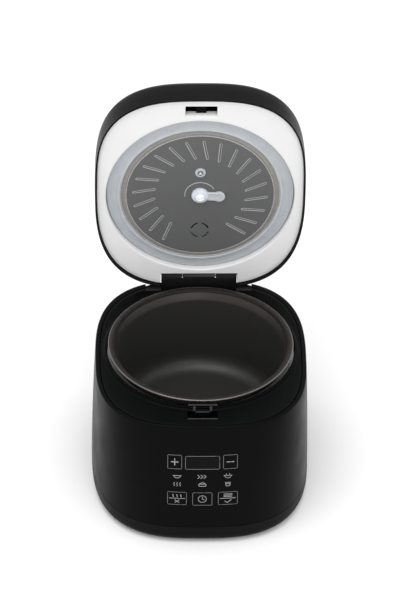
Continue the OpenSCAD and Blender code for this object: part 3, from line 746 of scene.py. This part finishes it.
def programme_marks():
    """Six small pictures for the cooking programmes, in two rows."""
    m = Marks(width=0.5)
    left, right = -27.4, 27.6
    top, low = 88.3, 78.4

    def bowl(x, z):
        m.curve(x, z + 1.2, 3.6, 180, 360, 10, 0.85)
        m.line([(x - 4.4, z + 1.2), (x + 4.4, z + 1.2)])

    bowl(left, top)
    for x in (-4.0, -0.6, 2.8):
        m.line([(x - 1.1, top + 2.2), (x + 1.3, top), (x - 1.1, top - 2.2)])
    bowl(right, top)
    for dx in (-1.8, 1.8):
        m.line([(right + dx, top + 2.2), (right + dx, top + 3.6)])
    for dx in (-3.2, 0, 3.2):
        m.line([(left + dx + 0.6 * math.sin(t * 1.5), low - 2.2 + t * 0.9) for t in range(6)])
    m.line([(-3.8, low - 2.2), (3.8, low - 2.2), (3.8, low + 0.6), (-3.8, low + 0.6)], closed=True)
    m.line([(-3.8, low + 0.6), (0, low + 2.6), (3.8, low + 0.6)])
    cup = ((-2.6, 2.2), (-2.0, -2.2), (2.0, -2.2), (2.6, 2.2))
    m.line([(right + x, low + z) for x, z in cup], closed=True)
    m.line([(right - 2.4, low + 0.5), (right + 2.4, low + 0.5)])
    m.build("programme_marks", "cooker_body")


# ---- Pot ----

def pot():
    """Coated pot with a round floor, a shoulder under its mouth, a grooved flange and a bare rolled edge."""
    outer, top, bottom = POT_HIGH.x, POT_HIGH.z, POT_LOW.z
    body_r = POT_R + POT_WALL
    bend = (body_r - POT_BEND, bottom + POT_BEND)
    inside = [(0.01, bottom + POT_WALL), *arc(*bend, POT_BEND - POT_WALL, 270, 360, 16)]
    inside += raised(top, ((POT_R, -60), (POT_R, -30), (POT_R, -12)))
    inside += spline(raised(top, ((POT_R, -11), (POT_R + 0.3, -9.6), (POT_R + 1.6, -7.2),
                                  (POT_R + 3.4, -4.4), (MOUTH_R - 0.3, -2.9))), 4)
    outside = raised(top, ((MOUTH_R - 0.1, -2.4), (MOUTH_R + POT_WALL, -2.4), (MOUTH_R + 0.3, -4.4),
                           (body_r + 0.4, -10), (body_r, -12)))
    outside += [*arc(*bend, POT_BEND, 360, 270, 16), (0.01, bottom)]
    mesh("pot_shell", *lathe([*inside, *outside], loop=False), "pot", "pot_coating", M["pot"],
         replaces=("inner_pot",), sharp=40)
    band = raised(top, ((POT_R + 0.35, -9.6), (POT_R + 1.5, -7.45), (POT_R + 3.2, -4.6),
                        (MOUTH_R - 0.5, -3.0), (MOUTH_R - 0.75, -2.8), (POT_R + 3.0, -4.35),
                        (POT_R + 1.2, -7.2), (POT_R + 0.15, -9.4)))
    mesh("pot_shoulder_band", *lathe(band), "pot", "pot_coating", M["shoulder"], sharp=50)
    flange = raised(top, ((MOUTH_R - 0.4, -2.6), (MOUTH_R - 0.2, -1.5), (MOUTH_R + 0.3, -1.2),
                          (MOUTH_R + 0.9, -1.2), (MOUTH_R + 1.1, -0.45), (MOUTH_R + 1.5, -0.25),
                          (outer - 1.3, -0.25), (outer - 1.1, -0.4), (outer - 1.1, -1.9),
                          (MOUTH_R + 1.1, -2.4), (MOUTH_R + 0.6, -2.5)))
    mesh("pot_flange", *lathe(flange), "pot", "pot_coating", M["flange"], sharp=40)
    roll = arc(outer - 1.0, top - 1.0, 1.0, 90, -90, 10)
    edge = [(outer - 1.1, top - 0.3), *roll, (outer - 1.1, top - 1.9)]
    mesh("pot_rim", *lathe(edge), "pot", "pot_coating", M["rim"], sharp=60)


# ---- Lid ----

def lid_outline(inset):
    return squircle(DECK_W - inset, DECK_FRONT - inset, DECK_BACK - inset, DECK_WIDE_Y, DECK_N)


def lid_ring(z, inset, scale=1.0):
    """The lid's outline at height z, drawn in by an inset and then scaled about its middle."""
    return [(x * scale, DECK_WIDE_Y + (y - DECK_WIDE_Y) * scale, z) for x, y in lid_outline(inset)]


def lid_shell():
    """Domed cover with a rounded shoulder, open at the hinge, the steam cap and the release button."""
    top, skirt, crown = LID_HIGH.z, LID_LOW.z, 84
    shoulder = spline([(27, 0), (20, 0.35), (14, 1.2), (8.5, 4), (5.5, 8), (3.4, 15), (1.8, 28), (0.7, 48),
                       (0, crown)])
    outside = [lid_ring(skirt, 0.5), lid_ring(skirt + 0.5, 0)]
    outside += [lid_ring(top - drop, 0) for drop in range(42, 27, -3)]
    outside += [lid_ring(top - max(drop, 0), max(inset, 0)) for drop, inset in shoulder]
    outside += [lid_ring(top, crown, scale) for scale in (0.7, 0.4, 0.1)]
    inside = [lid_ring(top - WALL, crown, 0.1), lid_ring(top - WALL, crown)]
    inside += [lid_ring(top - drop - WALL, inset + LID_WALL)
               for drop, inset in reversed(shoulder) if inset < 60]
    inside += [lid_ring(skirt + 0.2, LID_WALL), lid_ring(skirt, LID_WALL - 0.2)]
    notch_top, button_half_w, button_front, button_back = 173.5, 15.4, -120.4, -107.6
    cutters = [
        rounded_box(-NOTCH_HALF_W, NOTCH_HALF_W, NOTCH_Y, LID_BEYOND, skirt - 5, notch_top, 3.0, "Y"),
        bore(CAP_HOLE_R, 165, 210, (0, STEAM_Y), 128),
        rounded_box(-button_half_w, button_half_w, button_front, button_back, 175, 210, 3.4),
    ]
    data = carved(rings_to_mesh([*inside, *outside]), cutters)
    data.transform(OPEN)
    piece("lid_cover", data, "lid", M["lid"], ("lid_shell",))


def lid_liner():
    """White inner face of the lid: flat round the edge, a deep round recess for plate and gasket."""
    rounding = ((0, LINER_T), (0, 0.8), (0.25, 0.25), (0.9, 0))
    outer = [evened(flat_ring(lid_outline(LINER_INSET + inset), LINER_Z + rise)) for inset, rise in rounding]
    flat = to_circle(outer[-1], RECESS_R + RECESS_EDGE, 7)
    wall_r, back_z = RECESS_R + LINER_T, LINER_FLOOR_Z + 2
    profile = arc(RECESS_R + RECESS_EDGE, LINER_Z + RECESS_EDGE, RECESS_EDGE, 270, 180, 8)[1:]
    profile.append((RECESS_R, LINER_FLOOR_Z - RECESS_EDGE))
    profile += arc(RECESS_R - RECESS_EDGE, LINER_FLOOR_Z - RECESS_EDGE, RECESS_EDGE, 0, 90, 5)
    profile += [(r, LINER_FLOOR_Z) for r in (60, 20, 3.3)]
    profile += [(3.3, back_z), (wall_r, back_z)]
    profile += [(wall_r, LINER_Z + LINER_T + 1), (wall_r + 1, LINER_Z + LINER_T)]
    recess = [circle(r, z) for r, z in profile]
    foot, tail_half_w, tail_y = LINER_Z - 5, 45.5, 120.2
    cutters = [
        rounded_box(-NOTCH_HALF_W, NOTCH_HALF_W, NOTCH_Y, LID_BEYOND, foot, LINER_FLOOR_Z + 6, 0.8),
        rounded_box(-tail_half_w, tail_half_w, tail_y, LID_BEYOND, foot, LINER_Z + 6),
        rounded_box(-SLOT_HALF_W, SLOT_HALF_W, SLOT_FRONT_Y, SLOT_BACK_Y, foot, LINER_Z + 5, 0.7),
        bore(SENSOR_HOLE_R, 150, 180, (0, SENSOR_Y)),
        bore(STEAM_HOLE_R, 150, 180, (0, STEAM_Y), 64),
    ]
    data = carved(rings_to_mesh([*outer, *flat, *recess], loop=True), cutters)
    data.transform(OPEN)
    piece("lid_lining", data, "lid", M["liner"], ("lid_liner",))


def latch_ramp():
    """Rounded white ramp inside the latch slot, below the hook."""
    points = ((0, 0), (-1.0, 0.5), (-2.3, 1.9), (-3.2, 4.2), (-3.6, 7.6))
    curve = spline([(SLOT_BACK_Y + y, LINER_Z + rise) for y, rise in points], 5)
    outline = [*curve, (SLOT_BACK_Y, LINER_Z + 7.6)]
    half = SLOT_HALF_W - 0.05
    rings = [[(x, y, z) for y, z in outline] for x in (-half, half)]
    mesh("latch_ramp", *rings_to_mesh(rings), "lid", "liner_white", M["liner"], OPEN, sharp=50)


def inner_plate():
    """Coated disc with its steam slots and ribs, and a stepped rim with two light edges that are painted
    highlights.
    """
    disc = raised(PLATE_Z, ((6.0, 0), (30, 0), (60, 0), (DISC_R, 0), (DISC_R, PLATE_T), (60, PLATE_T),
                            (6.0, PLATE_T)))
    slot_outer_r, slot_inner_r = 10.3, 8.5
    cutters = []
    for start in range(0, 360, 90):
        outline = arc(0, STEAM_Y, slot_outer_r, start + 13, start + 77, 14)
        outline += arc(0, STEAM_Y, slot_inner_r, start + 75, start + 15, 14)
        cutters.append(rings_to_mesh([flat_ring(outline, z) for z in (150, 165)]))
    cutters.append(bore(SENSOR_HOLE_R, 150, 180, (0, SENSOR_Y)))
    data = carved(lathe(disc, 192), cutters)
    data.transform(OPEN)
    piece("plate_disc", data, "plate", M["plate"], ("inner_plate",))
    lines = [rib(k) for k in range(RIB_COUNT) if abs(rib_angle(k) - 270) > 30]
    # The ribs and the ring mark take the light rib colour, a painted highlight.
    mesh("plate_rib_highlights", *merged([*lines, ring_mark()]), "plate", "plate_grey", M["rib"], OPEN, sharp=60)
    bead = raised(PLATE_Z, ((80.0, 0.3), (80.25, -0.1), (80.7, -0.15), (81.1, 0.3), (81.3, 1.3),
                            (81.7, 2.2), (82.6, 2.5), (84.4, 2.6), (86.2, 2.6), (86.8, 2.9),
                            (PLATE_R, 3.4), (PLATE_R, 4.2), (84.0, 3.9), (81.0, 3.4), (80.2, 1.0)))
    mesh("plate_rim", *lathe(spline(bead, 3)), "plate", "plate_grey", M["bead"], OPEN, sharp=60)
    # Two thin light rings on the rim's step edges: painted highlights.
    for name, r0, r1, rise in (("inner", 80.1, 81.05, -0.2), ("outer", 86.2, 87.0, 2.5)):
        edge = raised(PLATE_Z + rise, ((r0, 0.5), (r0 + 0.15, 0.05), (r1 - 0.15, 0.05), (r1, 0.5),
                                       (r1 - 0.1, 0.9), (r0 + 0.1, 0.9)))
        mesh("plate_highlight_edge_" + name, *lathe(edge), "plate", "plate_grey", M["edge"], OPEN, sharp=60)


def rib_angle(k):
    """Direction of a rib in degrees; those that would cross the steam port, at 270, are left out."""
    return k * 360 / RIB_COUNT + RIB_START


def tube(path, radii, sides=7, closed=True):
    """Half-sunk tube on the plate's face along (x, y) points, one radius for each point."""
    rings = []
    count = len(path)
    for k, (x, y) in enumerate(path):
        before = path[(k - 1) % count] if closed or k else path[k]
        after = path[(k + 1) % count] if closed or k < count - 1 else path[k]
        along = Vector((after[0] - before[0], after[1] - before[1])).normalized()
        side = Vector((-along.y, along.x))
        ring = []
        for j in range(sides):
            t = math.tau * j / sides
            out = side * (radii[k] * math.cos(t))
            ring.append((x + out.x, y + out.y, PLATE_Z - radii[k] * math.sin(t)))
        rings.append(ring)
    return rings_to_mesh(rings, loop=closed)


def rib(k):
    """A stamped channel: a raised edge round a long slot with round ends, tangent to a small circle.

    With the lid open, the edge is thicker on each slot's lower left, so its light colour, a painted
    highlight, is widest there.
    """
    inner_r, outer_r, tangent_r, half = 49.3, 73.5, 16.3, 1.15
    lean = math.asin(tangent_r / inner_r)
    start = inner_r * math.cos(lean)
    length = outer_r * math.cos(math.asin(tangent_r / outer_r)) - start
    turn = math.radians(rib_angle(k)) + lean
    path, radii = [], []
    for x, y in arc(length - half, 0, half, -90, 90, 6) + arc(half, 0, half, 90, 270, 6):
        px, py = start + x, y - tangent_r
        rx = px * math.cos(turn) - py * math.sin(turn)
        ry = px * math.sin(turn) + py * math.cos(turn)
        path.append((rx, -ry))
        away = math.atan2(y, x - length + half if x > length - half else min(x - half, 0)) + turn
        # The edge widens towards the lower left, where the painted highlight falls.
        radii.append(0.34 + 0.26 * max(0.0, math.cos(away - math.radians(215))))
    return tube(path, radii)


def ring_mark():
    """Raised arc round the pull tab, in the light colour of the ribs, a painted highlight."""
    path = arc(0, 0, 16.65, -188, -28, 40)
    return tube(path, [0.62] * len(path), closed=False)


def gasket():
    """Flange in the recess with a soft lip that stands out round the plate."""
    profile = raised(GASKET_Z, ((87.1, 3.2), (87.1, 0.9), (87.5, 0.25), (88.4, 0), (89.4, 0.4),
                                (90.6, 1.6), (92.2, 3.0), (94.0, 3.7), (97.0, 3.8), (100.4, 3.8),
                                (101.6, 4.2), (101.9, 5.2), (101.2, 6.2), (98, 6.6), (92, 6.6), (87, 6.4)))
    mesh("sealing_ring", *lathe(spline(profile, 4)), "plate", "silicone_clear", M["gasket"], OPEN,
         ("lid_gasket",), 60)


def pull_tab():
    """Silicone knob on the centre post with its tab, and a white ring at the knob's mouth."""
    knob = raised(PLATE_Z, ((3.3, 2.4), (8.4, 2.4), (8.4, 1.1), (6.0, 1.0), (6.0, 0), (9.4, 0), (9.4, -2.2),
                            (9.1, -3.2), (8.3, -4.0), (7.0, -4.5), (6.1, -5.0), (5.6, -5.6), (5.0, -5.75),
                            (4.4, -5.6), (3.3, -5.3)))
    mesh("pull_knob", *lathe(knob, 96), "plate", "silicone_grey", M["knob"], OPEN, ("plate_grommet",), 40)
    mesh("pull_tab", *rounded_tab(), "plate", "silicone_grey", M["tab"], OPEN, sharp=40)
    mouth = raised(PLATE_Z, ((3.28, -4.5), (3.28, -6.2), (3.6, -6.5), (4.1, -6.4), (4.5, -5.9), (4.6, -5.2),
                             (4.6, -4.5)))
    mesh("knob_mouth", *lathe(mouth, 64), "plate", "silicone_grey", M["tip"], OPEN, sharp=50)


def rounded_tab():
    """Neck and round lobe of the pull tab, with soft edges and a shallow dish."""
    cx, r, neck, droop = 20.5, 6.7, 5.4, math.radians(4)
    meet = math.degrees(math.asin(neck / r))
    outline = [(5.0, -neck), *arc(cx, 0, r, 180 + meet, 540 - meet, 40), (5.0, neck)]
    section = ((0.9, -0.15), (0.3, -0.35), (0, -0.9), (0, -2.2), (0.3, -2.8), (0.9, -3.15), (2.0, -3.2),
               (3.0, -2.95))
    rings = []
    for shrink, rise in section:
        ring = []
        for x, y in outline:
            middle = cx if x > 14 else x
            size = math.hypot(x - middle, y)
            keep = max(size - shrink, 0.15) / size
            px, py = middle + (x - middle) * keep, y * keep
            ring.append((px * math.cos(droop) - py * math.sin(droop),
                         px * math.sin(droop) + py * math.cos(droop), PLATE_Z + rise))
        rings.append(ring)
    return rings_to_mesh(rings)


def post_and_sensor():
    """White tip of the centre post, the sensor's steel pin and its clear grommet."""
    tip = [(0.01, 150.0), (1.4, 150.15), (2.5, 150.8), (3.1, 151.8), (3.2, 153.2), (3.2, 169), (0.01, 169)]
    mesh("post_tip", *lathe(tip, 64, loop=False), "lid", "ceramic_white", M["tip"], OPEN,
         ("centre_post",), 50)
    pin = [(0.01, 152.2), (1.1, 152.3), (1.9, 152.9), (2.3, 154), (2.3, 172), (0.01, 172)]
    mesh("sensor_pin", *lathe(pin, 48, (0, SENSOR_Y), loop=False), "lid", "steel", M["steel"], OPEN,
         ("lid_sensor",), 50)
    ring = [(2.5, 157.5), (2.5, 155.4), (3.0, 154.9), (4.4, 154.5), (5.4, 154.8), (5.9, 155.7), (5.9, 156.5),
            (4.2, 156.6), (4.2, 157.5), (5.4, 157.7), (5.4, 158.6), (2.5, 158.6)]
    mesh("sensor_ring", *lathe(ring, 64, (0, SENSOR_Y)), "plate", "silicone_clear", M["gasket"], OPEN,
         ("sensor_grommet",), 60)


def steam_cap():
    """Round cap on the lid's top with four slots."""
    low, high = node_box("steam_cap", CLOSE)
    r, top, edge = high.x, high.z, 1.6
    profile = raised(top, ((0.01, -0.6), (12, -0.6), (16, -0.3), (19.5, -0.05)))
    profile += arc(r - edge, top - edge, edge, 90, 0, 6)
    profile += [(r, low.z), (r - 2, low.z), (r - 2, top - 3), (0.01, top - 3)]
    cutters = [rounded_box(x - 1.1, x + 1.1, STEAM_Y - 9, STEAM_Y + 9, top - 6, top + 4, 1.0)
               for x in (-9, -3, 3, 9)]
    data = carved(lathe(profile, 128, (0, STEAM_Y), loop=False), cutters)
    data.transform(OPEN)
    piece("steam_vent_cap", data, "steam_vent", M["lid"], ("steam_cap",))


def latch_highlights():
    """Painted highlights at the latch: lighter edges on the striker's frame and crossbar, and a light line
    behind the cover plate.
    """
    low, high = node_box("striker")
    front, top, foot = low.y + 5.5, high.z, high.z - 11
    bars = ((-10.3, -7.6, foot, top - 2.5), (7.6, 10.3, foot, top - 2.5), (-10.3, 10.3, foot, foot + 2.2),
            (-15.7, 15.7, top - 1.1, top))
    # Thin light bars on the striker's front edges: painted highlights.
    parts = [rounded_box(x0, x1, front - 0.35, front + 0.1, z0, z1, 0.5, "Y") for x0, x1, z0, z1 in bars]
    mesh("striker_frame_highlight", *merged(parts), "cooker_body", "dark_plastic", M["latch_highlight"], sharp=30)
    _, high = node_box("latch_cover")
    # Light line at the back edge of the cover plate: a painted highlight.
    line = rounded_box(-16, 16, high.y - 1.02, high.y + 0.02, DECK_Z + 0.05, high.z + 0.14, 0.2, "X")
    mesh("latch_highlight_line", *line, "cooker_body", "dark_plastic", M["latch_highlight"], sharp=30)


def carried_nodes():
    """CAD nodes whose shape is right: small ones get softened edges, hidden ones a material."""
    soften = {
        "striker": ("cooker_body", "dark_plastic", "black", 0.45),
        "latch_cover": ("cooker_body", "dark_plastic", "black", 0.12),
        "hinge_bracket": ("cooker_body", "deck_black", "hinge", 0.6),
        "hinge_cover": ("cooker_body", "deck_black", "hinge", 0.35),
        "hinge_arm": ("lid", "dark_plastic", "dark", 0.5),
        "inlet_housing": ("cooker_body", "dark_plastic", "dark", 0.4),
        "latch_hook": ("hook", "dark_plastic", "black", 0.35),
        "release_button": ("button", "dark_plastic", "dark", 1.0),
    }
    for node, (body, slot, look, width) in soften.items():
        refined(node, body, M[look], width, 3)
    plain = {
        "rubber": ("rubber_feet",),
        "steel": ("base_screws", "sensor_bracket", "sensor_spring", "inlet_pins", "inlet_screws",
                  "hinge_pin", "hinge_springs", "lid_screws", "hook_pin", "hook_spring", "heater_element"),
        "aluminium": ("pot_well", "heater_plate", "centre_sensor"),
        "ceramic": ("heater_spacers", "thermal_fuse"),
        "copper": ("band_heater",),
        "board": ("power_board", "control_board"),
        "dark": ("power_components", "key_switches", "display_module", "steam_seat"),
        "knob": ("steam_cap_seal",),
    }
    for look, nodes in plain.items():
        for node in nodes:
            data = frame["nodes"][node].data
            data.materials.clear()
            data.materials.append(M[look])


# ---- Studio ----

def floor():
    """Pale floor under the object, which isn't part of it."""
    half = 6.0
    corners = [(-half, -half, 0), (half, -half, 0), (half, half, 0), (-half, half, 0)]
    data = bpy.data.meshes.new("floor")
    data.from_pydata(corners, [], [(0, 1, 2, 3)])
    obj = bpy.data.objects.new("floor", data)
    bpy.context.scene.collection.objects.link(obj)
    mat, tree, shader = material("floor white")
    tone = noise_value(tree, 3.0, 2.0)
    tree.links.new(two_tone(tree, spread(tree, tone, 0, 1), (0.96, 0.96, 0.96), (0.97, 0.97, 0.97)),
                   shader.inputs["Base Color"])
    shader.inputs["Roughness"].default_value = 0.9
    shader.inputs["Specular IOR Level"].default_value = 0.0
    shader.inputs["Emission Color"].default_value = (1, 1, 1, 1)
    shader.inputs["Emission Strength"].default_value = 0.02
    data.materials.append(mat)


def area_light(name, place, aim, size, power):
    """A rectangular softbox that points at a place."""
    light = bpy.data.lights.new(name, "AREA")
    light.shape = "RECTANGLE"
    light.size, light.size_y = size
    light.energy = power
    obj = bpy.data.objects.new(name, light)
    obj.location = place
    obj.rotation_euler = (Vector(aim) - Vector(place)).to_track_quat("-Z", "Y").to_euler()
    bpy.context.scene.collection.objects.link(obj)


def studio():
    """A white room with a large softbox above and a weaker one in front."""
    world = bpy.data.worlds.new("white room")
    bpy.context.scene.world = world
    world.use_nodes = True
    background = world.node_tree.nodes["Background"]
    background.inputs["Color"].default_value = (1.0, 1.0, 1.0, 1)
    background.inputs["Strength"].default_value = 1.0
    area_light("top softbox", (-0.3, -0.5, 1.9), (0, 0, 0.2), (1.3, 1.1), 11)
    area_light("front fill", (0.6, -2.2, 1.3), (0, 0, 0.25), (1.2, 1.2), 6)
    bpy.context.scene.view_settings.view_transform = "Standard"


def camera():
    """Nearly parallel view from the front and above."""
    elevation, azimuth, roll = (math.radians(angle) for angle in (37.71, -1.573, 0.817))
    distance, sensor, view_height = 12.0, 36.0, 0.6497
    aim = Vector((-0.001496, -0.000973, 0.219889))
    away = Vector((math.sin(azimuth) * math.cos(elevation), -math.cos(azimuth) * math.cos(elevation),
                   math.sin(elevation)))
    data = bpy.data.cameras.new("view")
    data.sensor_width = sensor
    data.lens = sensor * distance / view_height
    obj = bpy.data.objects.new("view", data)
    obj.location = aim + away * distance
    turn = (-away).to_track_quat("-Z", "Y").to_matrix().to_4x4() @ Matrix.Rotation(roll, 4, "Z")
    obj.rotation_euler = turn.to_euler()
    bpy.context.scene.collection.objects.link(obj)
    bpy.context.scene.camera = obj


camera()
body_shell()
base_cover()
deck()
keys()
display()
programme_marks()
pot()
lid_shell()
lid_liner()
latch_ramp()
inner_plate()
gasket()
pull_tab()
post_and_sensor()
steam_cap()
latch_highlights()
carried_nodes()
floor()
studio()
